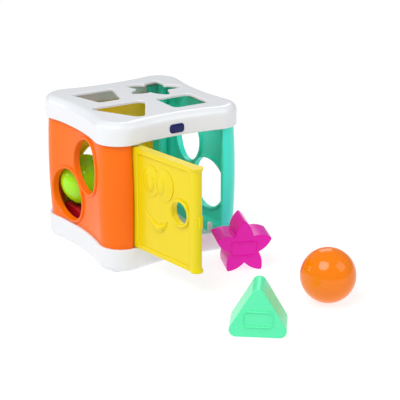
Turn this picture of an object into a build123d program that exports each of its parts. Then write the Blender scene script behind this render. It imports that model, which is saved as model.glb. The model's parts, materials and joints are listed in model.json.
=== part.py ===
"""Shape sorter: a play cube with a sorting lid, ball holes, a hinged door, four blocks and two balls.

The frame is in millimetres with +Z up. The origin is the middle of the cube's underside, +X is to
the right of the door side and +Y goes to the back. The door is built closed and then swung open.
"""
import os
from math import cos, hypot, radians, sin

from build123d import *

os.makedirs("parts", exist_ok=True)

# ---------------------------------------------------------------- driving dimensions
cube_width = 150.0
cube_height = 145.7
corner_centre = 50.7        # centre of every corner arc, on the plan's diagonal
side_sag = 5.3              # how far each side of the plan curves inwards

lid_skirt = 21.1
lid_wall = 2.6
lid_top = 2.6
lid_edge_radius = 7.7
base_height = 23.2
base_inset = 0.5
base_wall = 2.4
base_floor = 2.8
base_edge_radius = 6.0
panel_inset = 3.2
panel_bulge = 1.7           # how far the panels stand out at half height
panel_wall = 2.3
panel_top = 134.0
column_end = 49.8           # where a side panel stops on the door side and on the back

hole_radius = 25.8          # a ball passes through with 0.65 mm all round
rim_radius = 29.0
rim_height = 0.9
flange_radius = 27.6
flange_depth = 4.6
side_holes = ((18.2, 91.9), (-20.8, 52.7))     # y and z on the right panel
back_hole = (8.6, 61.2)                        # from the middle towards the left panel, and z

post_place = 60.9           # the corner posts inside the side panels, in x and in y
post_radius = 5.0
post_top = 139.0
peg_radius = 3.0
fit_gap = 0.05
boss_height = 8.0
boss_radius = 6.2
screw_bite = 16.0
screw_radius = 1.5
screw_head_radius = 3.0

hinge_x = -44.2
hinge_y = -67.0
door_open = 81.0            # degrees from closed, as the toy stands
door_low = 24.4
door_high = 122.6
door_half_thickness = 4.5
door_reach = 87.4           # hinge axis to the middle of the free edge's grip bar
grip_radius = 4.8
grip_flare = 1.3
grip_flare_end = 7.0        # from the end of the bar to where its flare begins
pin_radius = 2.5
pin_length = 5.0
socket_radius = 4.6
socket_gap = 0.6
pin_end_gap = 0.4

block_depth = 30.0
block_wall = 1.8
sorting_clearance = 1.9
star_tip = 27.9
star_notch = 14.4
star_bulge = 1.9
star_tip_round = 1.5
star_notch_round = 0.8
least_round = 0.4
triangle_radius = 33.4
triangle_corner = 6.2
square_side = 35.1
square_corner = 5.0
trapezoid_long = 41.6
trapezoid_short = 20.6
trapezoid_depth = 37.1
trapezoid_corner = 3.2
ball_radius = 25.15
ball_wall = 1.8
rest_gap = 0.3

lid_half = cube_width / 2
base_half = lid_half - base_inset
panel_half = lid_half - panel_inset
lid_bottom = cube_height - lid_skirt
door_height = door_high - door_low
panel_low = base_floor
cut_size = 400.0            # larger than anything that is cut through

turned_openings = ("triangle", "star")
opening_places = {"trapezoid": (-29.5, 25.3), "triangle": (-30.3, -26.4),
                  "star": (29.1, 25.3), "square": (30.1, -30.1)}


# ---------------------------------------------------------------- profiles
def waisted_square(half_width):
    """A square with round corners whose sides curve inwards; all sizes are offsets of one another."""
    corner_radius = half_width - corner_centre
    middle = half_width - side_sag
    side_radius = (corner_centre**2 + (middle - corner_centre)**2 - corner_radius**2) / (2 * side_sag)
    rise = middle + side_radius - corner_centre
    share = corner_radius / hypot(corner_centre, rise)
    join_x = corner_centre - corner_centre * share
    join_y = -corner_centre - rise * share
    elbow = corner_centre + corner_radius * cos(radians(45))
    with BuildSketch() as plan:
        with BuildLine():
            for turn in (0, 90, 180, 270):
                start, dip, end, bend, leave = [
                    Vector(*spot).rotate(Axis.Z, turn)
                    for spot in ((-join_x, join_y), (0, -middle), (join_x, join_y),
                                 (elbow, -elbow), (-join_y, -join_x))
                ]
                ThreePointArc(start, dip, end)
                ThreePointArc(end, bend, leave)
        make_face()
    return plan.sketch


def ring(outer_half, inner_half):
    """The plan between two offsets of the waisted square."""
    with BuildSketch() as plan:
        add(waisted_square(outer_half))
        add(waisted_square(inner_half), mode=Mode.SUBTRACT)
    return plan.sketch


def star(grow):
    """Five petals with bulging sides. Growing it leaves the tips as sharp as they are."""
    with BuildSketch() as plan:
        with BuildLine():
            for petal in range(5):
                tip = Vector(0, star_tip + grow).rotate(Axis.Z, 72 * petal)
                for side in (-36, 36):
                    notch = Vector(0, star_notch + grow).rotate(Axis.Z, 72 * petal + side)
                    chord = (tip - notch).normalized()
                    across = chord.rotate(Axis.Z, 90 if side < 0 else -90)
                    ThreePointArc(notch, (tip + notch) / 2 - across * star_bulge, tip)
        make_face()
        tip_round = star_tip_round if grow >= 0 else least_round
        fillet(plan.vertices().sort_by_distance((0, 0))[5:], tip_round)
        fillet(plan.vertices().sort_by_distance((0, 0))[:5], star_notch_round)
    return plan.sketch


def triangle(grow):
    """An equilateral triangle with round corners, one of them pointing to +Y."""
    with BuildSketch() as plan:
        RegularPolygon(triangle_radius + 2 * grow, 3, rotation=90)
        fillet(plan.vertices(), triangle_corner + min(grow, 0))
    return plan.sketch


def square(grow):
    with BuildSketch() as plan:
        RectangleRounded(square_side + 2 * grow, square_side + 2 * grow, square_corner + min(grow, 0))
    return plan.sketch


def trapezoid(grow):
    """The long side is towards +Y."""
    slope = hypot(trapezoid_depth, (trapezoid_long - trapezoid_short) / 2) / trapezoid_depth
    tilt = (trapezoid_long - trapezoid_short) / 2 / trapezoid_depth
    long_half = trapezoid_long / 2 + grow * (slope + tilt)
    short_half = trapezoid_short / 2 + grow * (slope - tilt)
    half_depth = trapezoid_depth / 2 + grow
    with BuildSketch() as plan:
        with BuildLine():
            Polyline((-short_half, -half_depth), (short_half, -half_depth),
                     (long_half, half_depth), (-long_half, half_depth), close=True)
        make_face()
        fillet(plan.vertices(), trapezoid_corner + min(grow, 0))
    return plan.sketch


profiles = {"trapezoid": trapezoid, "triangle": triangle, "star": star, "square": square}


def barrel_band(outer_half, inner_half):
    """The upright band between two offsets of the plan. It bulges from the base's lip to the lid's."""
    stations = ((base_height, 0), ((base_height + lid_bottom) / 2, panel_bulge), (lid_bottom, 0))
    with BuildPart() as band:
        for half_width, mode in ((outer_half, Mode.ADD), (inner_half, Mode.SUBTRACT)):
            with BuildSketch(Plane.XY.offset(panel_low)):
                add(waisted_square(half_width))
            extrude(amount=panel_top - panel_low, mode=mode)
            for level, bulge in stations:
                with BuildSketch(Plane.XY.offset(level)):
                    add(waisted_square(half_width + bulge))
            loft(mode=mode)
    return band.part


def hole_rim(outer_half, inner_half, radius, places):
    """Discs on the +X side between two offsets of the panels' shape, at the (y, z) places given."""
    with BuildPart() as discs:
        with BuildSketch(Plane.YZ):
            with Locations(*places):
                Circle(radius)
        extrude(amount=cube_width)
        add(barrel_band(outer_half, inner_half), mode=Mode.INTERSECT)
        with BuildSketch(Plane.XY.offset(base_height + rest_gap)):
            Rectangle(cut_size, cut_size)
        extrude(amount=cube_height, mode=Mode.INTERSECT)
    return discs.part


def finish(piece, name):
    """Label one piece and write it to its own file."""
    piece.label = name
    export_step(piece, f"parts/{name}.step")


# ---------------------------------------------------------------- lid
underside = cube_height - lid_top
post_corners = [(x * post_place, y * post_place) for x in (-1, 1) for y in (-1, 1)]
peg_depth = 12.0
skirt_round = 1.1
lead_in = 0.8
socket_low = door_high + socket_gap

with BuildPart() as lid:
    with BuildSketch(Plane.XY.offset(lid_bottom)):
        add(waisted_square(lid_half))
    extrude(amount=lid_skirt)
    fillet(lid.faces().sort_by(Axis.Z)[-1].edges(), lid_edge_radius)
    with BuildSketch(Plane.XY.offset(lid_bottom)):
        add(waisted_square(lid_half - lid_wall))
    extrude(amount=lid_skirt - lid_top, mode=Mode.SUBTRACT)
    fillet(lid.faces().filter_by(Axis.Z).sort_by(Axis.Z)[-2].edges(), lid_edge_radius - lid_wall)
    fillet(lid.faces().sort_by(Axis.Z)[0].outer_wire().edges(), skirt_round)
    # pegs that press into the corner posts, each with a collar that sits on the post
    with BuildSketch(Plane.XY.offset(post_top)):
        with Locations(*post_corners):
            Circle(post_radius)
    extrude(amount=underside - post_top)
    with BuildSketch(Plane.XY.offset(post_top - peg_depth)):
        with Locations(*post_corners):
            Circle(peg_radius)
    extrude(amount=peg_depth)
    # the socket that the door's upper pin turns in
    with BuildSketch(Plane.XY.offset(socket_low)):
        with Locations((hinge_x, hinge_y)):
            Circle(socket_radius)
    extrude(amount=underside - socket_low)
    with BuildSketch(Plane.XY.offset(socket_low)):
        with Locations((hinge_x, hinge_y)):
            Circle(pin_radius + fit_gap)
    extrude(amount=pin_length + pin_end_gap, mode=Mode.SUBTRACT)
    # the four sorting openings, each with a soft lead-in
    for name, place in opening_places.items():
        with BuildSketch(Plane.XY.offset(cube_height)):
            with Locations(Location((*place, 0), (0, 0, 180 if name in turned_openings else 0))):
                add(profiles[name](sorting_clearance))
        extrude(amount=-2 * lid_top, mode=Mode.SUBTRACT)
    chamfer(lid.faces().sort_by(Axis.Z)[-1].inner_wires().edges(), lead_in)
finish(lid.part, "lid")

# a blank name badge on the front of the lid's skirt
badge_width = 15.4
badge_height = 8.6
badge_corner = 3.0
badge_proud = 0.6
badge_z = lid_bottom + 7.6
with BuildPart() as badge:
    with BuildSketch(Plane.XY.offset(badge_z - badge_height / 2)):
        add(ring(lid_half + badge_proud, lid_half))
        Rectangle(badge_width, cut_size, mode=Mode.INTERSECT)
        with Locations((0, cut_size / 2)):
            Rectangle(cut_size, cut_size, mode=Mode.SUBTRACT)
    extrude(amount=badge_height)
    fillet(badge.edges().filter_by(Axis.Y), badge_corner)
finish(badge.part, "badge")

# ---------------------------------------------------------------- base
stop_x = 43.5
stop_y = -58.0
stop_width = 4.6
stop_thickness = 2.5
stop_root = 0.5
stop_top = 26.6
sill_height = 19.6
sill_start = -39.0
sill_end = 47.8
sill_depth = -56.0
base_lip_round = 1.0
screw_clearance = 0.2
head_clearance = 0.4
head_seat = 4.0
head_height = 2.2
screw_length = 18.0
with BuildPart() as base:
    with BuildSketch(Plane.XY):
        add(waisted_square(base_half))
    extrude(amount=base_height)
    fillet(base.faces().sort_by(Axis.Z)[0].edges(), base_edge_radius)
    with BuildSketch(Plane.XY.offset(base_floor)):
        add(waisted_square(base_half - base_wall))
    extrude(amount=base_height, mode=Mode.SUBTRACT)
    fillet(base.faces().sort_by(Axis.Z)[-1].outer_wire().edges(), base_lip_round)
    # the wall is lower under the door
    with BuildSketch(Plane.XY.offset(sill_height)):
        with Locations(((sill_start + sill_end) / 2, sill_depth)):
            Rectangle(sill_end - sill_start, cut_size, align=(Align.CENTER, Align.MAX))
    extrude(amount=base_height, mode=Mode.SUBTRACT)
    # screw bosses under the corner posts, counterbored from below
    with BuildSketch(Plane.XY):
        with Locations(*post_corners):
            Circle(boss_radius)
    extrude(amount=boss_height)
    with BuildSketch(Plane.XY):
        with Locations(*post_corners):
            Circle(screw_radius + screw_clearance)
    extrude(amount=boss_height, mode=Mode.SUBTRACT)
    with BuildSketch(Plane.XY):
        with Locations(*post_corners):
            Circle(screw_head_radius + head_clearance)
    extrude(amount=head_seat, mode=Mode.SUBTRACT)
    # the post that carries the door's lower pin
    with BuildSketch(Plane.XY.offset(base_floor)):
        with Locations((hinge_x, hinge_y)):
            Circle(socket_radius)
    extrude(amount=door_low - socket_gap - base_floor)
    with BuildSketch(Plane.XY.offset(door_low - socket_gap)):
        with Locations((hinge_x, hinge_y)):
            Circle(pin_radius + fit_gap)
    extrude(amount=-pin_length - pin_end_gap, mode=Mode.SUBTRACT)
    # the round-topped stop that the closed door rests against
    with BuildSketch(Plane.XZ.offset(-stop_y)):
        with Locations((stop_x, (stop_top + stop_root) / 2)):
            SlotOverall(stop_top - stop_root, stop_width, rotation=90)
    extrude(amount=stop_thickness)
finish(base.part, "base")

with BuildPart() as base_screws:
    with Locations(*[Location((x, y, head_seat)) for x, y in post_corners]):
        Cylinder(screw_radius - fit_gap, screw_length, align=(Align.CENTER, Align.CENTER, Align.MIN))
        Cylinder(screw_head_radius, head_height, align=(Align.CENTER, Align.CENTER, Align.MAX))
finish(base_screws.part, "base_screws")

# ---------------------------------------------------------------- side panels
foot_shoulder = 12.6
foot_top = 15.7
foot_thickness = 4.5
foot_length = 90.0
foot_bite = 1.5             # how far the foot reaches into the wall
boss_gap = 0.1
post_pair = ((post_place, post_place), (post_place, -post_place))
with BuildPart() as side_panel:
    add(barrel_band(panel_half, panel_half - panel_wall))
    with BuildSketch(Plane.XY.offset(panel_low)):
        with Locations((column_end, 0)):
            Rectangle(cut_size, cut_size, align=(Align.MAX, Align.CENTER))
    extrude(amount=cube_height, mode=Mode.SUBTRACT)
    # the wall is thicker where it stands on the base's floor, with a sloping ledge on top
    with BuildSketch(Plane.XY.offset(panel_low)):
        add(ring(panel_half - panel_wall + foot_bite, panel_half - panel_wall - foot_thickness))
        with Locations((column_end, 0)):
            Rectangle(cube_width, foot_length, align=(Align.MIN, Align.CENTER), mode=Mode.INTERSECT)
    extrude(amount=foot_top - panel_low)
    for level, depth in ((foot_shoulder, foot_thickness), (foot_top, 0)):
        with BuildSketch(Plane.XY.offset(level)):
            add(waisted_square(panel_half - panel_wall - depth))
    loft(mode=Mode.SUBTRACT)
    # corner posts
    with BuildSketch(Plane.XY.offset(panel_low)):
        with Locations(*post_pair):
            Circle(post_radius)
    extrude(amount=post_top - panel_low)
    # room round the base's screw bosses, then the bores for the screws and for the lid's pegs
    with BuildSketch(Plane.XY.offset(panel_low)):
        with Locations(*post_pair):
            Circle(boss_radius + boss_gap)
    extrude(amount=boss_height - panel_low, mode=Mode.SUBTRACT)
    with BuildSketch(Plane.XY.offset(boss_height)):
        with Locations(*post_pair):
            Circle(screw_radius)
    extrude(amount=screw_bite, mode=Mode.SUBTRACT)
    with BuildSketch(Plane.XY.offset(post_top)):
        with Locations(*post_pair):
            Circle(peg_radius + fit_gap)
    extrude(amount=-peg_depth - pin_end_gap, mode=Mode.SUBTRACT)
    # the two ball holes, each with a proud rim outside and a flange inside
    add(hole_rim(panel_half + rim_height, panel_half - panel_wall, rim_radius, side_holes))
    add(hole_rim(panel_half, panel_half - flange_depth, flange_radius, side_holes))
    with BuildSketch(Plane.YZ):
        with Locations(*side_holes):
            Circle(hole_radius)
    extrude(amount=cube_width, mode=Mode.SUBTRACT)
finish(side_panel.part, "right_panel")
finish(side_panel.part.rotate(Axis.Z, 180), "left_panel")

# ---------------------------------------------------------------- back panel
tongue_end = 54.0
tongue_thickness = 1.8
tongue_gap = 0.2
tongue_overlap = 3.0
back_edge = column_end - 0.2
back_top = 127.0
back_rise = back_top - panel_low


def back_strip(outer_half, inner_half, edge, open_to=0.0):
    """The +X side of a band out to the y given, without its middle up to open_to."""
    with BuildPart() as strip:
        add(barrel_band(outer_half, inner_half))
        with BuildSketch(Plane.XY.offset(panel_low)):
            Rectangle(cube_width, 2 * edge, align=(Align.MIN, Align.CENTER))
            if open_to:
                Rectangle(cut_size, 2 * open_to, mode=Mode.SUBTRACT)
        extrude(amount=back_rise, mode=Mode.INTERSECT)
    return strip.part


with BuildPart() as back_panel:
    # drawn on the +X side, and turned to the back at the end
    add(back_strip(panel_half, panel_half - panel_wall, back_edge))
    # side tongues that tuck in behind the corner columns, and the webs that carry them
    tongue_outer = panel_half - panel_wall - tongue_gap
    root = back_edge - tongue_overlap
    add(back_strip(tongue_outer, panel_half - panel_wall - tongue_thickness, tongue_end, root))
    add(back_strip(tongue_outer + 2 * tongue_gap, tongue_outer - tongue_gap, back_edge, root))
    add(hole_rim(panel_half + rim_height, panel_half - panel_wall, rim_radius, (back_hole,)))
    add(hole_rim(panel_half, panel_half - flange_depth, flange_radius, (back_hole,)))
    with BuildSketch(Plane.YZ):
        with Locations(back_hole):
            Circle(hole_radius)
    extrude(amount=cube_width, mode=Mode.SUBTRACT)
finish(back_panel.part.rotate(Axis.Z, 90), "back_panel")

# ---------------------------------------------------------------- door
# Drawn closed, with the hinge axis on the Z axis, +X towards the free edge and -Y outwards.
recess = 1.2
skin = 2.2
face_start = 8.6
face_end = 83.0
face_low = 27.2
face_high = 118.5
face_corner = 1.5
back_margin = 0.5
finger_place = (69.2, 75.9)
finger_radius = 11.0
finger_collar = 2.2
finger_depth = 5.8
relief = 0.8
eye_places = ((27.3, 96.0), (47.2, 96.4))
eye_size = (12.6, 15.2)
pupil_places = ((29.0, 94.0), (43.9, 94.0))
pupil_size = (5.6, 9.0)
pupil_relief = 0.4
mouth_relief = 0.6
mouth_left = (20.9, 65.5)
mouth_right = (51.0, 62.5)
lip_middle = (36.4, 57.4)
chin_middle = (39.0, 49.0)
tab_z = 73.0
pin_chamfer = 0.5
face_y = -door_half_thickness + recess
outer_face = Plane(origin=(0, face_y, 0), x_dir=(1, 0, 0), z_dir=(0, -1, 0))

with BuildSketch() as grip_half:
    with BuildLine():
        Polyline((0, door_height / 2), (0, 0), (grip_radius + grip_flare, 0),
                 (grip_radius + grip_flare, grip_flare))
        ThreePointArc((grip_radius + grip_flare, grip_flare),
                      (grip_radius + grip_flare / 4, grip_flare_end / 2), (grip_radius, grip_flare_end))
        Polyline((grip_radius, grip_flare_end), (grip_radius, door_height / 2), (0, door_height / 2))
    make_face()

with BuildPart() as door:
    with BuildSketch(Plane.XY.offset(door_low)):
        Circle(door_half_thickness)
        Rectangle(door_reach, 2 * door_half_thickness, align=(Align.MIN, Align.CENTER))
    extrude(amount=door_height)
    # the outer face is recessed inside a rim, and the inner side is an open tray
    with BuildSketch(outer_face):
        with Locations(((face_start + face_end) / 2, (face_low + face_high) / 2)):
            RectangleRounded(face_end - face_start, face_high - face_low, face_corner)
    extrude(amount=cube_width, mode=Mode.SUBTRACT)
    with BuildSketch(outer_face.offset(-skin)):
        with Locations(((face_start + face_end) / 2, (door_low + door_high) / 2)):
            RectangleRounded(face_end - face_start - 2 * back_margin, door_height - 2 * skin, face_corner)
    extrude(amount=-cube_width, mode=Mode.SUBTRACT)
    # the grip bar along the free edge, flared at both ends
    with BuildSketch(Plane.XZ):
        with Locations((door_reach, door_low)):
            add(grip_half.sketch)
    revolve(axis=Axis((door_reach, 0, 0), (0, 0, 1)))
    with BuildSketch(Plane.XZ):
        with Locations((door_reach, door_high)):
            add(mirror(grip_half.sketch, Plane.XZ, mode=Mode.PRIVATE))
    revolve(axis=Axis((door_reach, 0, 0), (0, 0, 1)))
    # latch tab on the free edge
    with Locations((door_reach + grip_radius, 0, tab_z)):
        Box(3.6, 3.4, 10.8)
    # finger hole with a collar
    with BuildSketch(outer_face.offset(relief)):
        with Locations(finger_place):
            Circle(finger_radius + finger_collar)
    extrude(amount=-finger_depth)
    with BuildSketch(outer_face.offset(cube_width / 2)):
        with Locations(finger_place):
            Circle(finger_radius)
    extrude(amount=-cube_width, mode=Mode.SUBTRACT)
    # a plain smiling face in low relief
    with BuildSketch(outer_face):
        for place in eye_places:
            with Locations(place):
                Ellipse(*eye_size)
    extrude(amount=relief)
    with BuildSketch(outer_face.offset(relief)):
        for place in pupil_places:
            with Locations(place):
                Ellipse(*pupil_size)
    extrude(amount=pupil_relief)
    with BuildSketch(outer_face):
        with BuildLine():
            ThreePointArc(mouth_left, lip_middle, mouth_right)
            ThreePointArc(mouth_right, chin_middle, mouth_left)
        make_face()
    extrude(amount=mouth_relief)
    # stub pins
    for level, rise in ((door_low, -pin_length), (door_high, pin_length)):
        with BuildSketch(Plane.XY.offset(level)):
            Circle(pin_radius)
        extrude(amount=rise)
    pin_ends = door.faces().sort_by(Axis.Z)
    chamfer(pin_ends[0].edges() + pin_ends[-1].edges(), pin_chamfer)
finish(door.part.rotate(Axis.Z, -door_open).translate((hinge_x, hinge_y, 0)), "door")

# ---------------------------------------------------------------- blocks
# Each block is a hollow body, open at one end, with a glued-in end cap. It is drawn with its
# face on the local XY plane, a plain raised frame on it, and its depth going back along local -Z.
plate_size = (25.5, 14.5)
plate_line = 0.8
plate_corner = 3.6
plate_height = 0.5
face_round = 0.8
cap_thickness = 2.0
floor_gap = 0.2


def make_block(name, stand, plate_shift=0.0):
    """Write a block's shell and cap, standing on the plane given."""
    outline = profiles[name](0)
    inside = profiles[name](-block_wall)
    with BuildPart() as shell:
        with BuildSketch(stand):
            add(outline)
        extrude(amount=-block_depth)
        fillet(shell.faces().sort_by(Axis(stand.origin, stand.z_dir))[-1].edges(), face_round)
        with BuildSketch(stand.offset(-block_wall)):
            add(inside)
        extrude(amount=-block_depth, mode=Mode.SUBTRACT)
        with BuildSketch(stand):
            with Locations((0, plate_shift)):
                RectangleRounded(*plate_size, plate_corner)
                RectangleRounded(*[side - 2 * plate_line for side in plate_size],
                                 plate_corner - plate_line, mode=Mode.SUBTRACT)
        extrude(amount=plate_height)
    finish(shell.part, f"{name}_block")
    with BuildPart() as cap:
        with BuildSketch(stand.offset(-block_depth)):
            add(inside)
        extrude(amount=cap_thickness)
    finish(cap.part, f"{name}_block_cap")


def standing(x, y, z, turn):
    """A plane that faces the door side, turned about Z, for a block that stands on its edge."""
    return Plane(origin=(x, y, z), x_dir=(cos(radians(turn)), sin(radians(turn)), 0),
                 z_dir=(sin(radians(turn)), -cos(radians(turn)), 0))


def lying(x, y, turn):
    """A plane that faces up, for a block that lies on the base's floor."""
    return Plane(origin=(x, y, base_floor + floor_gap + block_depth),
                 x_dir=(cos(radians(turn)), sin(radians(turn)), 0), z_dir=(0, 0, 1))


star_foot = -star(0).bounding_box().min.Y
triangle_foot = -triangle(0).bounding_box().min.Y
make_block("star", standing(39.3, -126.6, star_foot, -21.3), -0.4)
make_block("triangle", standing(-31.75, -251.6, triangle_foot, -37.4))
make_block("trapezoid", lying(-44.0, 33.0, -15.8))
make_block("square", lying(-34.5, -36.5, 12))

# ---------------------------------------------------------------- balls
green_z = base_floor + floor_gap + block_depth + plate_height + rest_gap + ball_radius


def make_ball(name, x, y, z):
    """Write a hollow ball as the two halves that it is welded from."""
    with BuildPart() as ball:
        with Locations((x, y, z)):
            Sphere(ball_radius)
            Sphere(ball_radius - ball_wall, mode=Mode.SUBTRACT)
    for half, keep in (("upper", Keep.TOP), ("lower", Keep.BOTTOM)):
        finish(split(ball.part, Plane.XY.offset(z), keep=keep), f"{name}_ball_{half}")


make_ball("orange", 63.45, -223.3, ball_radius)
make_ball("green", -43.0, 36.4, green_z)
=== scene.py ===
"""Shape sorter: finishes, details shaped by rule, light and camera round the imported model."""
import json
import math

import bmesh
import bpy
from mathutils import Euler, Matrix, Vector
from mathutils.bvhtree import BVHTree


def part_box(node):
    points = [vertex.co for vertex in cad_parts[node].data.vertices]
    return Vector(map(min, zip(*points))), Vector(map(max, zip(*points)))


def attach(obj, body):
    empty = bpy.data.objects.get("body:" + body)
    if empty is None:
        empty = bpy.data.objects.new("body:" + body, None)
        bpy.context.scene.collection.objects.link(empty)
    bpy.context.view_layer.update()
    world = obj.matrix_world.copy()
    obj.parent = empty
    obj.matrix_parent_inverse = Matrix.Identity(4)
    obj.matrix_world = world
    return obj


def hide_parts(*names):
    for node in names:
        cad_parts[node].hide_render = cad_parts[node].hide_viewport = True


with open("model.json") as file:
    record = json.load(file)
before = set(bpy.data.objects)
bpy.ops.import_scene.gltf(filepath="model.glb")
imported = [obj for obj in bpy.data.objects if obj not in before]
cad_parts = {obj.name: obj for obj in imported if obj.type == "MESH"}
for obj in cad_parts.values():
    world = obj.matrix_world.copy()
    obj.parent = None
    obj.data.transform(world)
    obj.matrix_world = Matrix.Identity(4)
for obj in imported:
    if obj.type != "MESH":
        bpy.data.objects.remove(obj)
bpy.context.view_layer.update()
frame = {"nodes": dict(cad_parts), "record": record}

MM = 0.001
UP = Vector((0, 0, 1))
scene = bpy.context.scene
record = frame["record"]
openings = {entry["name"]: entry["box_m"] for entry in record["physics"]["openings"]}
slots = {entry["node"]: entry["material_slot"] for entry in record["subparts"]}


def middle(box):
    """The middle of a box given by its two corners."""
    low, high = (Vector(corner) for corner in box)
    return (low + high) / 2


# ---------------------------------------------------------------- camera
LENS = 112.64
SENSOR = 36.0
CAMERA_PLACE = (-0.57644, -1.02876, 0.46627)
CAMERA_DOWN = 19.911
CAMERA_TURN = -32.115


def place_camera():
    """A long lens above the door side, to the left of the door."""
    camera = bpy.data.cameras.new("camera")
    camera.sensor_width = SENSOR
    camera.lens = LENS
    holder = bpy.data.objects.new("camera", camera)
    holder.location = CAMERA_PLACE
    holder.rotation_euler = Euler((math.radians(90 - CAMERA_DOWN), 0, math.radians(CAMERA_TURN)))
    scene.collection.objects.link(holder)
    scene.camera = holder


# ---------------------------------------------------------------- finishes
SWIRL_SCALE = 14.0
RUB_SCALE = 160.0
PEEL_SCALE = 420.0
SINK_SCALE = 60.0
RUB_SPREAD = (-0.02, 0.03)
PEEL_SHARE = 0.15
BUMP_HEIGHT = 0.1 * MM


def group_socket(tree, name, kind, out=False, default=None):
    """One named input or output of a node group."""
    socket = tree.interface.new_socket(name=name, in_out="OUTPUT" if out else "INPUT", socket_type=kind)
    if default is not None:
        socket.default_value = default


def moulded_plastic():
    """Colour, roughness and surface ripple of injection-moulded plastic, read from Object coordinates."""
    tree = bpy.data.node_groups.new("moulded_plastic", "ShaderNodeTree")
    group_socket(tree, "Colour", "NodeSocketColor", default=(0.8, 0.8, 0.8, 1))
    group_socket(tree, "Shade Colour", "NodeSocketColor", default=(0.7, 0.7, 0.7, 1))
    group_socket(tree, "Flow", "NodeSocketFloat", default=0.25)
    group_socket(tree, "Roughness", "NodeSocketFloat", default=0.25)
    group_socket(tree, "Ripple", "NodeSocketFloat", default=0.05)
    group_socket(tree, "Colour", "NodeSocketColor", out=True)
    group_socket(tree, "Roughness", "NodeSocketFloat", out=True)
    group_socket(tree, "Normal", "NodeSocketVector", out=True)
    nodes, links = tree.nodes, tree.links
    inputs = nodes.new("NodeGroupInput")
    outputs = nodes.new("NodeGroupOutput")
    place = nodes.new("ShaderNodeTexCoord")

    def noise(scale, detail):
        made = nodes.new("ShaderNodeTexNoise")
        made.inputs["Scale"].default_value = scale
        made.inputs["Detail"].default_value = detail
        links.new(place.outputs["Object"], made.inputs["Vector"])
        return made

    # melt flow: broad soft swirls of a slightly deeper shade
    swirl = noise(SWIRL_SCALE, 2.0)
    share = nodes.new("ShaderNodeMath")
    share.operation = "MULTIPLY"
    links.new(swirl.outputs["Fac"], share.inputs[0])
    links.new(inputs.outputs["Flow"], share.inputs[1])
    mix = nodes.new("ShaderNodeMix")
    mix.data_type = "RGBA"
    links.new(share.outputs[0], mix.inputs["Factor"])
    links.new(inputs.outputs["Colour"], mix.inputs["A"])
    links.new(inputs.outputs["Shade Colour"], mix.inputs["B"])
    links.new(mix.outputs["Result"], outputs.inputs["Colour"])
    # polish: fingerprints and fine rub marks vary the gloss
    rub = noise(RUB_SCALE, 5.0)
    spread = nodes.new("ShaderNodeMapRange")
    spread.inputs["From Min"].default_value = 0.3
    spread.inputs["From Max"].default_value = 0.7
    spread.inputs["To Min"].default_value = RUB_SPREAD[0]
    spread.inputs["To Max"].default_value = RUB_SPREAD[1]
    links.new(rub.outputs["Fac"], spread.inputs["Value"])
    total = nodes.new("ShaderNodeMath")
    total.operation = "ADD"
    links.new(inputs.outputs["Roughness"], total.inputs[0])
    links.new(spread.outputs["Result"], total.inputs[1])
    links.new(total.outputs[0], outputs.inputs["Roughness"])
    # ripple: the faint orange peel of a polished mould, over shallow sinks
    peel = noise(PEEL_SCALE, 2.0)
    sink = noise(SINK_SCALE, 1.0)
    height = nodes.new("ShaderNodeMath")
    height.operation = "MULTIPLY_ADD"
    height.inputs[1].default_value = PEEL_SHARE
    links.new(peel.outputs["Fac"], height.inputs[0])
    links.new(sink.outputs["Fac"], height.inputs[2])
    bump = nodes.new("ShaderNodeBump")
    bump.inputs["Distance"].default_value = BUMP_HEIGHT
    links.new(height.outputs[0], bump.inputs["Height"])
    links.new(inputs.outputs["Ripple"], bump.inputs["Strength"])
    links.new(bump.outputs["Normal"], outputs.inputs["Normal"])
    return tree


plastic_group = moulded_plastic()


def plastic(name, colour, shade, roughness, glow=0.0, ripple=0.03, shine=0.5):
    """A moulded-plastic finish; glow is the light that travels inside it, shine how strongly it reflects."""
    material = bpy.data.materials.new(name)
    material.use_nodes = True
    nodes, links = material.node_tree.nodes, material.node_tree.links
    shader = nodes["Principled BSDF"]
    effect = nodes.new("ShaderNodeGroup")
    effect.node_tree = plastic_group
    effect.inputs["Colour"].default_value = (*colour, 1)
    effect.inputs["Shade Colour"].default_value = (*shade, 1)
    effect.inputs["Flow"].default_value = 0.2
    effect.inputs["Roughness"].default_value = roughness
    effect.inputs["Ripple"].default_value = ripple
    links.new(effect.outputs["Colour"], shader.inputs["Base Color"])
    links.new(effect.outputs["Roughness"], shader.inputs["Roughness"])
    links.new(effect.outputs["Normal"], shader.inputs["Normal"])
    shader.inputs["IOR"].default_value = 1.5
    shader.inputs["Specular IOR Level"].default_value = shine
    if glow:
        shader.inputs["Subsurface Weight"].default_value = glow
        shader.inputs["Subsurface Radius"].default_value = (1.0, 0.5, 0.3)
        shader.inputs["Subsurface Scale"].default_value = 4 * MM
    return material


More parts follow.
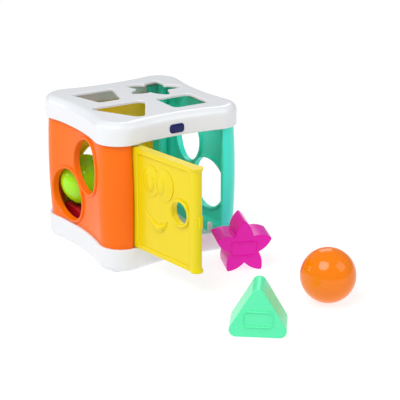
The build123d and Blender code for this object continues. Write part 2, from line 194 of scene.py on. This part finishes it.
finishes = {
    "white": plastic("white_gloss", (0.84, 0.86, 0.89), (0.80, 0.82, 0.86), 0.10),
    "navy": plastic("navy_print", (0.002, 0.008, 0.12), (0.002, 0.006, 0.09), 0.12, shine=0.3),
    "steel": plastic("zinc_plate", (0.55, 0.55, 0.57), (0.4, 0.4, 0.42), 0.35),
    "orange": plastic("orange_shell", (1.0, 0.17, 0.002), (0.98, 0.13, 0.001), 0.34, shine=0.2),
    "turquoise": plastic("turquoise_shell", (0.05, 0.88, 0.70), (0.04, 0.80, 0.64), 0.3, shine=0.3),
    "yellow": plastic("yellow_shell", (0.85, 0.68, 0.004), (0.83, 0.63, 0.003), 0.18, shine=0.3),
    "magenta": plastic("magenta_block", (0.82, 0.002, 0.46), (0.74, 0.002, 0.42), 0.18, shine=0.28),
    "mint": plastic("mint_block", (0.12, 0.93, 0.47), (0.10, 0.86, 0.44), 0.24, shine=0.35),
    "red": plastic("red_block", (0.50, 0.005, 0.015), (0.40, 0.004, 0.015), 0.16),
    "violet": plastic("violet_block", (0.16, 0.05, 0.45), (0.12, 0.03, 0.36), 0.2),
    "ball_orange": plastic(
        "orange_ball", (1.0, 0.23, 0.002), (0.98, 0.20, 0.002), 0.09, ripple=0.01, shine=0.38
    ),
    "ball_lime": plastic(
        "lime_ball", (0.38, 0.88, 0.004), (0.34, 0.82, 0.003), 0.09, ripple=0.01, shine=0.45
    ),
}
for node, piece in frame["nodes"].items():
    piece.data.materials.clear()
    piece.data.materials.append(finishes[slots[node]])

# the back wall is a warmer yellow than the door, and light passes through it
back_wall = plastic("yellow_wall", (1.0, 0.66, 0.012), (0.98, 0.60, 0.010), 0.3, glow=0.2, shine=0.25)
frame["nodes"]["back_panel"].data.materials[0] = back_wall


# ---------------------------------------------------------------- Geometry Nodes trees
def geometry_tree(name, sizes, place=None):
    """A Geometry Nodes tree with a mesh in, a mesh out, a number for each size and perhaps a place."""
    tree = bpy.data.node_groups.new(name, "GeometryNodeTree")
    group_socket(tree, "Geometry", "NodeSocketGeometry")
    for size in sizes:
        group_socket(tree, size, "NodeSocketFloat")
    if place:
        group_socket(tree, place, "NodeSocketVector")
    group_socket(tree, "Finish", "NodeSocketMaterial")
    group_socket(tree, "Geometry", "NodeSocketGeometry", out=True)
    return tree, tree.nodes.new("NodeGroupInput"), tree.nodes.new("NodeGroupOutput")


def close_tree(tree, inputs, outputs, shape):
    """Realize Instances and Set Material, the end of every tree."""
    real = tree.nodes.new("GeometryNodeRealizeInstances")
    paint = tree.nodes.new("GeometryNodeSetMaterial")
    tree.links.new(shape, real.inputs["Geometry"])
    tree.links.new(real.outputs["Geometry"], paint.inputs["Geometry"])
    tree.links.new(inputs.outputs["Finish"], paint.inputs["Material"])
    tree.links.new(paint.outputs["Geometry"], outputs.inputs["Geometry"])


def math_step(tree, operation, *values):
    """A Math node fed by sockets and plain numbers."""
    made = tree.nodes.new("ShaderNodeMath")
    made.operation = operation
    for number, value in enumerate(values):
        if isinstance(value, (int, float)):
            made.inputs[number].default_value = value
        else:
            tree.links.new(value, made.inputs[number])
    return made.outputs[0]


def seamed_ball_tree():
    """A moulded ball: round, with a faint groove where its two halves are welded."""
    tree, inputs, outputs = geometry_tree("seamed_ball", ["Radius", "Seam Depth", "Seam Width"], "Place")
    nodes, links = tree.nodes, tree.links
    ball = nodes.new("GeometryNodeMeshUVSphere")
    ball.inputs["Segments"].default_value = 128
    ball.inputs["Rings"].default_value = 128
    links.new(inputs.outputs["Radius"], ball.inputs["Radius"])
    place = nodes.new("GeometryNodeInputPosition")
    split = nodes.new("ShaderNodeSeparateXYZ")
    links.new(place.outputs[0], split.inputs[0])
    # groove = depth * exp(-(z / width)^2), taken off along the radius
    share = math_step(tree, "DIVIDE", split.outputs["Z"], inputs.outputs["Seam Width"])
    square = math_step(tree, "MULTIPLY", share, share)
    fall = math_step(tree, "EXPONENT", math_step(tree, "MULTIPLY", square, -1.0))
    groove = math_step(tree, "MULTIPLY", fall, inputs.outputs["Seam Depth"])
    cut = math_step(tree, "DIVIDE", groove, inputs.outputs["Radius"])
    scale = nodes.new("ShaderNodeVectorMath")
    scale.operation = "SCALE"
    links.new(place.outputs[0], scale.inputs[0])
    links.new(math_step(tree, "SUBTRACT", 1.0, cut), scale.inputs["Scale"])
    shift = nodes.new("GeometryNodeSetPosition")
    links.new(ball.outputs["Mesh"], shift.inputs["Geometry"])
    links.new(scale.outputs[0], shift.inputs["Position"])
    move = nodes.new("GeometryNodeTransform")
    links.new(shift.outputs["Geometry"], move.inputs["Geometry"])
    links.new(inputs.outputs["Place"], move.inputs["Translation"])
    close_tree(tree, inputs, outputs, move.outputs["Geometry"])
    return tree


def bead_tree():
    """A rounded bead swept along the edges of the mesh it is given."""
    tree, inputs, outputs = geometry_tree("rounded_bead", ["Bead Radius"])
    nodes, links = tree.nodes, tree.links
    line = nodes.new("GeometryNodeMeshToCurve")
    profile = nodes.new("GeometryNodeCurvePrimitiveCircle")
    sweep = nodes.new("GeometryNodeCurveToMesh")
    profile.inputs["Resolution"].default_value = 20
    links.new(inputs.outputs["Geometry"], line.inputs["Mesh"])
    links.new(inputs.outputs["Bead Radius"], profile.inputs["Radius"])
    links.new(line.outputs["Curve"], sweep.inputs["Curve"])
    links.new(profile.outputs["Curve"], sweep.inputs["Profile Curve"])
    close_tree(tree, inputs, outputs, sweep.outputs["Mesh"])
    return tree


def screw_tree():
    """A screw with a cross recess on every point of the mesh it is given, heads down."""
    sizes = ["Head Radius", "Head Height", "Shank Radius", "Shank Length", "Recess Width", "Recess Depth"]
    tree, inputs, outputs = geometry_tree("cross_head_screws", sizes)
    nodes, links = tree.nodes, tree.links
    size = inputs.outputs

    def rod(radius, length, lift):
        made = nodes.new("GeometryNodeMeshCylinder")
        made.inputs["Vertices"].default_value = 40
        links.new(radius, made.inputs["Radius"])
        links.new(length, made.inputs["Depth"])
        rise = nodes.new("ShaderNodeCombineXYZ")
        links.new(lift, rise.inputs["Z"])
        move = nodes.new("GeometryNodeTransform")
        links.new(made.outputs["Mesh"], move.inputs["Geometry"])
        links.new(rise.outputs[0], move.inputs["Translation"])
        return move.outputs["Geometry"]

    def bar(long_side, short_side):
        made = nodes.new("GeometryNodeMeshCube")
        sides = nodes.new("ShaderNodeCombineXYZ")
        links.new(size["Head Radius"], sides.inputs[long_side])
        links.new(size["Recess Width"], sides.inputs[short_side])
        links.new(size["Recess Depth"], sides.inputs["Z"])
        links.new(sides.outputs[0], made.inputs["Size"])
        return made.outputs["Mesh"]

    head_lift = math_step(tree, "MULTIPLY", size["Head Height"], 0.5)
    shank_lift = math_step(tree, "MULTIPLY_ADD", size["Shank Length"], 0.5, size["Head Height"])
    cut = nodes.new("GeometryNodeMeshBoolean")
    cut.operation = "DIFFERENCE"
    links.new(rod(size["Head Radius"], size["Head Height"], head_lift), cut.inputs["Mesh 1"])
    links.new(bar("X", "Y"), cut.inputs["Mesh 2"])
    links.new(bar("Y", "X"), cut.inputs["Mesh 2"])
    join = nodes.new("GeometryNodeJoinGeometry")
    links.new(cut.outputs["Mesh"], join.inputs["Geometry"])
    links.new(rod(size["Shank Radius"], size["Shank Length"], shank_lift), join.inputs["Geometry"])
    spread = nodes.new("GeometryNodeInstanceOnPoints")
    links.new(inputs.outputs["Geometry"], spread.inputs["Points"])
    links.new(join.outputs["Geometry"], spread.inputs["Instance"])
    close_tree(tree, inputs, outputs, spread.outputs["Instances"])
    return tree


# ---------------------------------------------------------------- making a piece
MERGE = 0.001 * MM


def new_object(name, vertices, edges=(), faces=()):
    """A linked mesh object at the origin."""
    mesh = bpy.data.meshes.new(name)
    mesh.from_pydata([tuple(v) for v in vertices], list(edges), list(faces))
    mesh.update()
    made = bpy.data.objects.new(name, mesh)
    scene.collection.objects.link(made)
    return made


def turn_outward(mesh, facing=None):
    """Merge doubles and point the faces outwards; an open sheet is turned to the side it faces."""
    shell = bmesh.new()
    shell.from_mesh(mesh)
    bmesh.ops.remove_doubles(shell, verts=shell.verts, dist=MERGE)
    bmesh.ops.recalc_face_normals(shell, faces=shell.faces)
    if facing is not None and sum(face.normal.dot(facing) for face in shell.faces) < 0:
        bmesh.ops.reverse_faces(shell, faces=shell.faces)
    shell.to_mesh(mesh)
    shell.free()


def settle(piece, body, smooth=True):
    """Shade a finished piece and let it ride on its body."""
    mesh = piece.data
    mesh.polygons.foreach_set("use_smooth", [smooth] * len(mesh.polygons))
    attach(piece, body)


def grow(name, start, tree, values, slot, body, smooth=True):
    """Run a tree on a start mesh, keep its result as a plain mesh and hand the piece to a body."""
    piece = new_object(name, *start)
    modifier = piece.modifiers.new("shape", "NODES")
    modifier.node_group = tree
    sockets = {i.name: i.identifier for i in tree.interface.items_tree if i.in_out == "INPUT"}
    for label, value in {**values, "Finish": finishes[slot]}.items():
        modifier[sockets[label]] = value
    bpy.context.view_layer.update()
    grown = piece.evaluated_get(bpy.context.evaluated_depsgraph_get())
    mesh = bpy.data.meshes.new_from_object(grown)
    piece.modifiers.clear()
    piece.data = mesh
    turn_outward(mesh)
    settle(piece, body, smooth)
    return piece


def sheet(name, rows, slot, body, facing):
    """A smooth sheet through rows of points."""
    width = len(rows[0])
    faces = []
    for i in range(len(rows) - 1):
        for k in range(width - 1):
            corner = i * width + k
            faces.append((corner, corner + 1, corner + width + 1, corner + width))
    piece = new_object(name, [point for row in rows for point in row], (), faces)
    turn_outward(piece.data, facing)
    piece.data.materials.append(finishes[slot])
    settle(piece, body)


DOME_RINGS = 12


def dome(name, spokes, point, slot, body, facing):
    """A dome of rings and spokes; point gives the place for a share of the radius and a turn."""
    rows = []
    for i in range(DOME_RINGS + 1):
        share = math.sin(0.5 * math.pi * i / DOME_RINGS)
        rows.append([point(share, 2 * math.pi * k / spokes) for k in range(spokes + 1)])
    sheet(name, rows, slot, body, facing)


def ring(radius, count):
    """Points of a circle, as pairs."""
    turns = [2 * math.pi * i / count for i in range(count)]
    return [(radius * math.cos(turn), radius * math.sin(turn)) for turn in turns]


CORNER_STEPS = 8


def rounded_rectangle(low, high, corner):
    """Points of a rectangle with rounded corners, as pairs."""
    left, right = low[0] + corner, high[0] - corner
    bottom, top = low[1] + corner, high[1] - corner
    points = []
    for quarter, (u, v) in enumerate(((right, top), (left, top), (left, bottom), (right, bottom))):
        for i in range(CORNER_STEPS + 1):
            turn = math.pi / 2 * (quarter + i / CORNER_STEPS)
            points.append((u + corner * math.cos(turn), v + corner * math.sin(turn)))
    return points


def closed_line(points):
    """The vertices and edges of a closed line."""
    return points, [(i, (i + 1) % len(points)) for i in range(len(points))]


def surface(node):
    """A function that finds where a ray first meets a CAD node, and stops if it misses."""
    mesh = frame["nodes"][node].data
    tree = BVHTree.FromPolygons([v.co for v in mesh.vertices], [p.vertices for p in mesh.polygons])

    def meet(start, direction):
        hit = tree.ray_cast(start, direction)[0]
        if hit is None:
            raise ValueError(f"a ray misses {node}")
        return hit

    return meet


bead = bead_tree()


def bead_along(name, points, radius, slot, body):
    """A closed bead through the points, its radius in mm."""
    grow(name, closed_line(points), bead, {"Bead Radius": radius * MM}, slot, body)


# ---------------------------------------------------------------- balls
SEAM_DEPTH = 0.12 * MM
SEAM_WIDTH = 0.5 * MM


def make_balls():
    """Each ball whole, in the place of its two halves."""
    tree = seamed_ball_tree()
    for colour, slot in (("orange", "ball_orange"), ("green", "ball_lime")):
        name = f"{colour}_ball"
        upper, lower = f"{name}_upper", f"{name}_lower"
        low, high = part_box(lower)[0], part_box(upper)[1]
        values = {
            "Radius": (high.x - low.x) / 2,
            "Seam Depth": SEAM_DEPTH,
            "Seam Width": SEAM_WIDTH,
            "Place": tuple((low + high) / 2),
        }
        ball = grow(name, ([(0, 0, 0)],), tree, values, slot, name)
        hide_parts(upper, lower)


# ---------------------------------------------------------------- beads round the ball holes
HOLE_BEAD_PATH = 27.4 * MM
HOLE_BEAD = 1.7
HOLE_BEAD_SUNK = 0.7 * MM
HOLE_BEAD_STEPS = 96
RAY_START = 50 * MM


def hole_bead(name, node, centre, outward, slot):
    """A bead round a ball hole, laid on the curved wall and sunk into it a little."""
    meet = surface(node)
    across = UP.cross(outward)
    points = []
    for u, v in ring(HOLE_BEAD_PATH, HOLE_BEAD_STEPS):
        start = centre + u * across + v * UP + RAY_START * outward
        points.append(meet(start, -outward) - HOLE_BEAD_SUNK * outward)
    bead_along(f"{name}_hole_bead", points, HOLE_BEAD, slot, "cube")


def make_hole_beads():
    """A bead for each of the five ball holes."""
    right, left, back = Vector((1, 0, 0)), Vector((-1, 0, 0)), Vector((0, 1, 0))
    right_lower = middle(openings["right_lower_ball_hole"])
    # the left panel is the right one turned by half a turn
    left_lower = Vector((-right_lower.x, -right_lower.y, right_lower.z))
    hole_bead("right_upper", "right_panel", middle(openings["right_upper_ball_hole"]), right, "turquoise")
    hole_bead("right_lower", "right_panel", right_lower, right, "turquoise")
    hole_bead("left_upper", "left_panel", middle(openings["left_upper_ball_hole"]), left, "orange")
    hole_bead("left_lower", "left_panel", left_lower, left, "orange")
    hole_bead("back", "back_panel", middle(openings["back_ball_hole"]), back, "yellow")


# ---------------------------------------------------------------- screws under the base
HEAD_HEIGHT = 2.0 * MM
SHANK_RADIUS = 1.4 * MM
RECESS_WIDTH = 0.9 * MM
RECESS_DEPTH = 2.4 * MM


def make_screws():
    """Four screws in the places of the CAD ones."""
    corners = {}
    for vertex in frame["nodes"]["base_screws"].data.vertices:
        corners.setdefault((vertex.co.x > 0, vertex.co.y > 0), []).append(vertex.co)
    boxes = []
    for corner in corners.values():
        low = Vector([min(place[k] for place in corner) for k in range(3)])
        high = Vector([max(place[k] for place in corner) for k in range(3)])
        boxes.append((low, high))
    points = [((low.x + high.x) / 2, (low.y + high.y) / 2, low.z) for low, high in boxes]
    size = boxes[-1][1] - boxes[-1][0]
    values = {
        "Head Radius": size.x / 2,
        "Head Height": HEAD_HEIGHT,
        "Shank Radius": SHANK_RADIUS,
        "Shank Length": size.z - HEAD_HEIGHT,
        "Recess Width": RECESS_WIDTH,
        "Recess Depth": RECESS_DEPTH,
    }
    screws = grow("screws", (points,), screw_tree(), values, "steel", "cube", smooth=False)
    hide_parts("base_screws")


# ---------------------------------------------------------------- the door's face
# Places on the door are (distance from the hinge, height) and rises are out of its face, all in mm.
hinge = next(joint for joint in record["behaviour"]["joints"] if joint["name"] == "door_hinge")
swing = math.radians(hinge["range_deg"][0])
door_along = Vector((math.cos(swing), math.sin(swing), 0))
door_outward = Vector((math.sin(swing), -math.cos(swing), 0))
hinge_foot = Vector((hinge["pos_m"][0], hinge["pos_m"][1], 0))
PLAIN_SPOT = (60, 40)
plain_spot = hinge_foot + MM * (PLAIN_SPOT[0] * door_along + PLAIN_SPOT[1] * UP)
face_hit = surface("door")(plain_spot + RAY_START * door_outward, -door_outward)
face_level = (face_hit - hinge_foot).dot(door_outward)

EYE_HALF = (12.6, 15.2)
EYE_RISE = 1.9
EYES = {"left_eye": (27.3, 96.0), "right_eye": (47.2, 96.4)}
PUPIL_RISE = 1.9
PUPIL_FOOT = 1.3
PUPILS = {"left_pupil": ((29.0, 95.0), (6.0, 9.6), 0.1), "right_pupil": ((43.9, 95.4), (6.2, 9.8), -0.1)}
TONGUE = ((43.5, 55.0), (4.2, 3.6), 3.9, 0.5)
SMILE_ENDS = ((20.9, 65.5), (51.0, 62.5))
SMILE_LIP = (36.4, 57.4)
SMILE_CHIN = (39.0, 49.0)
SMILE_RISE = 2.8
SMILE_LENGTH_STEPS = 40
SMILE_WIDTH_STEPS = 10
SUNK_EDGE = 0.3
SMILE_SUNK = 0.2
DOME_POWER = 0.6
EDGE_POWER = 12
FINGER_HOLE = (69.2, 75.9)
COLLAR_RADIUS = 11.9
COLLAR_STEPS = 48
COLLAR_RISE = 0.9
COLLAR_BEAD = 1.5
BORDER_LOW = (8.6, 27.2)
BORDER_HIGH = (83.0, 118.5)
BORDER_CORNER = 4.0
BORDER_RISE = 0.2
BORDER_BEAD = 1.2


def on_face(s, z, rise):
    """A point that stands off the door's outer face."""
    return hinge_foot + MM * (s * door_along + rise * door_outward + z * UP) + face_level * door_outward


def oval_dome(name, centre, half, rise, lean=0.0, foot=0.0):
    """A domed oval that grows out of the door's face, or out of a foot above it."""

    def point(share, turn):
        height = foot + rise * (1 - share ** 2) ** DOME_POWER - (foot + SUNK_EDGE) * share ** EDGE_POWER
        u, v = half[0] * share * math.cos(turn), half[1] * share * math.sin(turn)
        s = centre[0] + u * math.cos(lean) - v * math.sin(lean)
        z = centre[1] + u * math.sin(lean) + v * math.cos(lean)
        return on_face(s, z, height)

    dome(name, 48, point, "yellow", "door", door_outward)


def bend(start, peak, end, share):
    """A parabola through three points, read at a share of the way."""
    a, b, c = 2 * (share - 0.5) * (share - 1), -4 * share * (share - 1), 2 * share * (share - 0.5)
    return Vector([a * start[k] + b * peak[k] + c * end[k] for k in range(2)])


def make_smile():
    """A swollen crescent between the lip line and the chin line."""
    rows = []
    for i in range(SMILE_LENGTH_STEPS + 1):
        share = i / SMILE_LENGTH_STEPS
        top = bend(SMILE_ENDS[0], SMILE_LIP, SMILE_ENDS[1], share)
        bottom = bend(SMILE_ENDS[0], SMILE_CHIN, SMILE_ENDS[1], share)
        swell = SMILE_RISE * math.sin(math.pi * share) ** 0.5
        row = []
        for k in range(SMILE_WIDTH_STEPS + 1):
            part = k / SMILE_WIDTH_STEPS
            height = swell * (1 - (2 * part - 1) ** 2) ** 0.5 - SMILE_SUNK
            row.append(on_face(*top.lerp(bottom, part), height))
        rows.append(row)
    sheet("smile", rows, "yellow", "door", door_outward)


def make_door_face():
    """The relief on the door: eyes, pupils, smile, tongue, collar and border."""
    for name, centre in EYES.items():
        oval_dome(name, centre, EYE_HALF, EYE_RISE)
    for name, (centre, half, lean) in PUPILS.items():
        oval_dome(name, centre, half, PUPIL_RISE, lean, PUPIL_FOOT)
    make_smile()
    oval_dome("tongue", *TONGUE)
    # a collar round the finger hole
    s, z = FINGER_HOLE
    collar = [on_face(s + u, z + v, COLLAR_RISE) for u, v in ring(COLLAR_RADIUS, COLLAR_STEPS)]
    bead_along("finger_collar", collar, COLLAR_BEAD, "yellow", "door")
    # a rounded edge along the raised border
    outline = rounded_rectangle(BORDER_LOW, BORDER_HIGH, BORDER_CORNER)
    border = [on_face(u, v, BORDER_RISE) for u, v in outline]
    bead_along("door_border", border, BORDER_BEAD, "yellow", "door")


# ---------------------------------------------------------------- frames on the blocks' blank plates
PLATE_HALF = (12.35, 6.85)
PLATE_CORNER = 3.2
PLATE_BEAD = 0.62
PLATE_LIFT = 0.3
STAR_PLACE = (39.3 * MM, -126.6 * MM)
STAR_TURN = math.radians(-21.3)
STAR_DROP = 0.4 * MM
TRIANGLE_PLACE = (-31.75 * MM, -251.6 * MM)
TRIANGLE_TURN = math.radians(-37.4)
TRIANGLE_RISE = 16.7 * MM


def plate_frame(name, body, slot, centre, turn):
    """A beaded rounded rectangle on a face that looks to the door side, turned about Z."""
    across = Vector((math.cos(turn), math.sin(turn), 0))
    ahead = Vector((math.sin(turn), -math.cos(turn), 0))
    low = (-PLATE_HALF[0], -PLATE_HALF[1])
    points = []
    for u, v in rounded_rectangle(low, PLATE_HALF, PLATE_CORNER):
        points.append(centre + MM * (u * across + PLATE_LIFT * ahead + v * UP))
    bead_along(name, points, PLATE_BEAD, slot, body)


def make_plate_frames():
    """A frame on the front face of the star and one on the triangle's."""
    # a five-pointed star that stands on two tips has its centre at this share of its height
    lower_tips = math.cos(math.radians(36))
    low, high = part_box("star_block")
    star_middle = low.z + lower_tips / (1 + lower_tips) * (high.z - low.z) - STAR_DROP
    triangle_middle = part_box("triangle_block")[0].z + TRIANGLE_RISE
    star_spot = Vector((*STAR_PLACE, star_middle))
    triangle_spot = Vector((*TRIANGLE_PLACE, triangle_middle))
    plate_frame("star_plate", "star", "magenta", star_spot, STAR_TURN)
    plate_frame("triangle_plate", "triangle", "mint", triangle_spot, TRIANGLE_TURN)


# ---------------------------------------------------------------- the badge
BADGE_RISE = 0.7 * MM
BADGE_SUNK = 0.3 * MM
BADGE_POWER = 3


def make_badge():
    """A domed blank badge in a rounded oblong."""
    low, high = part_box("badge")
    centre, half = (low + high) / 2, (high - low) / 2

    def point(share, turn):
        cos, sin = math.cos(turn), math.sin(turn)
        reach = share * (abs(cos) ** BADGE_POWER + abs(sin) ** BADGE_POWER) ** (-1 / BADGE_POWER)
        proud = BADGE_RISE * (1 - share ** 2) ** 0.5 - BADGE_SUNK
        return Vector((centre.x + half.x * reach * cos, low.y - proud, centre.z + half.z * reach * sin))

    dome("badge_dome", 64, point, "navy", "cube", Vector((0, -1, 0)))


# ---------------------------------------------------------------- floor and light
FLOOR_SIZE = 30.0
FLOOR_SHADE = 0.27
FLOOR_LIGHT = 0.79
SKY_LIGHT = 0.32
# name, place, aim, size, watts, shape
LIGHTS = (
    ("key", (-0.93, -0.51, 1.60), (0, -0.1, 0.03), 1.3, 23, "DISK"),
    ("window", (0.95, -1.40, 1.30), (0.05, -0.2, 0), 1.1, 7, "SQUARE"),
    ("rear_left", (-1.25, 1.10, 0.62), (-0.07, -0.05, 0.08), 0.55, 3.5, "SQUARE"),
    ("back", (0.9, 1.2, 1.1), (0.07, 0, 0.07), 0.8, 4, "SQUARE"),
)


def make_floor():
    """A pale floor that is lit a little from within, so that it stays white under the object."""
    bpy.ops.mesh.primitive_plane_add(size=FLOOR_SIZE)
    floor = bpy.context.object
    floor.name = "floor"
    material = bpy.data.materials.new("pale_floor")
    material.use_nodes = True
    shader = material.node_tree.nodes["Principled BSDF"]
    shader.inputs["Base Color"].default_value = (FLOOR_SHADE, FLOOR_SHADE, FLOOR_SHADE, 1)
    shader.inputs["Roughness"].default_value = 0.8
    shader.inputs["Emission Color"].default_value = (1, 1, 1, 1)
    shader.inputs["Emission Strength"].default_value = FLOOR_LIGHT
    floor.data.materials.append(material)


def soft_light(name, place, aim, size, watts, shape):
    """An area light that looks at its aim."""
    light = bpy.data.lights.new(name, "AREA")
    light.shape = shape
    light.size = size
    light.energy = watts
    holder = bpy.data.objects.new(name, light)
    holder.location = place
    holder.rotation_euler = (Vector(aim) - Vector(place)).to_track_quat("-Z", "Y").to_euler()
    scene.collection.objects.link(holder)


def light_studio():
    """A white sky and four soft lights."""
    world = bpy.data.worlds.new("studio")
    world.use_nodes = True
    sky = world.node_tree.nodes["Background"]
    sky.inputs["Color"].default_value = (1, 1, 1, 1)
    sky.inputs["Strength"].default_value = SKY_LIGHT
    scene.world = world
    for light in LIGHTS:
        soft_light(*light)


make_balls()
make_hole_beads()
make_screws()
make_door_face()
make_plate_frames()
make_badge()
place_camera()
make_floor()
light_studio()
scene.view_settings.view_transform = "Standard"
